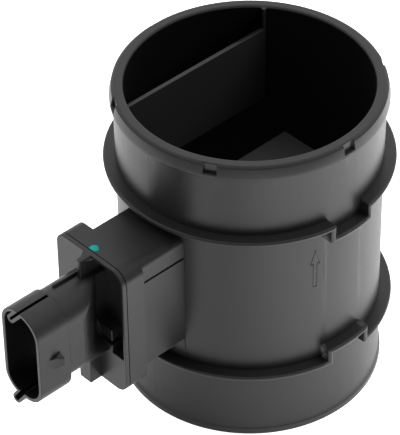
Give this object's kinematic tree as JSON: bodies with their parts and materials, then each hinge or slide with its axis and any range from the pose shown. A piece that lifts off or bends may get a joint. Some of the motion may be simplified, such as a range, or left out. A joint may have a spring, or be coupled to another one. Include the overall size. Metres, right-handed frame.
{
  "type": "mass airflow sensor",
  "caption": "Moulded measuring tube for engine intake air with a plug-in sensor whose finger reaches into the bore and whose connector stands out at the side.",
  "frame": {"origin": "on the tube's axis at its inlet end, which is the face it stands on", "axes": "+Z along the air flow, from the inlet to the outlet; the connector points along -X; +Y completes the frame"},
  "size_m": [0.1375, 0.09, 0.1072],
  "materials": {
    "housing_plastic": "satin, fine moulded grain",
    "sensor_plastic": "satin",
    "cover_plastic": "satin",
    "seal_rubber": "matt",
    "plate_metal": "mill finish",
    "board_ceramic": "matt",
    "part_plastic": "satin",
    "silicon": "polished",
    "capacitor_ceramic": "matt",
    "gel": "clear, soft",
    "terminal_metal": "tinned",
    "lead_metal": "tinned",
    "thermistor_glass": "glossy",
    "paint": "painted"
  },
  "bodies": {
    "root": {"tube_housing": "housing_plastic", "sensor_body": "sensor_plastic", "electronics_cover": "cover_plastic", "bypass_cover": "cover_plastic", "body_seal": "seal_rubber", "base_plate": "plate_metal", "circuit_board": "board_ceramic", "chip_carrier": "part_plastic", "sensor_chip": "silicon", "thermistor_bead": "thermistor_glass", "paint_mark": "paint", "evaluation_chip": "part_plastic", "protective_gel": "gel", "thermistor_lead_1": "lead_metal", "thermistor_lead_2": "lead_metal", "capacitor_1": "capacitor_ceramic", "terminal_1": "terminal_metal", "capacitor_2": "capacitor_ceramic", "terminal_2": "terminal_metal", "capacitor_3": "capacitor_ceramic", "terminal_3": "terminal_metal", "capacitor_4": "capacitor_ceramic", "terminal_4": "terminal_metal"}
  },
  "joints": []
}
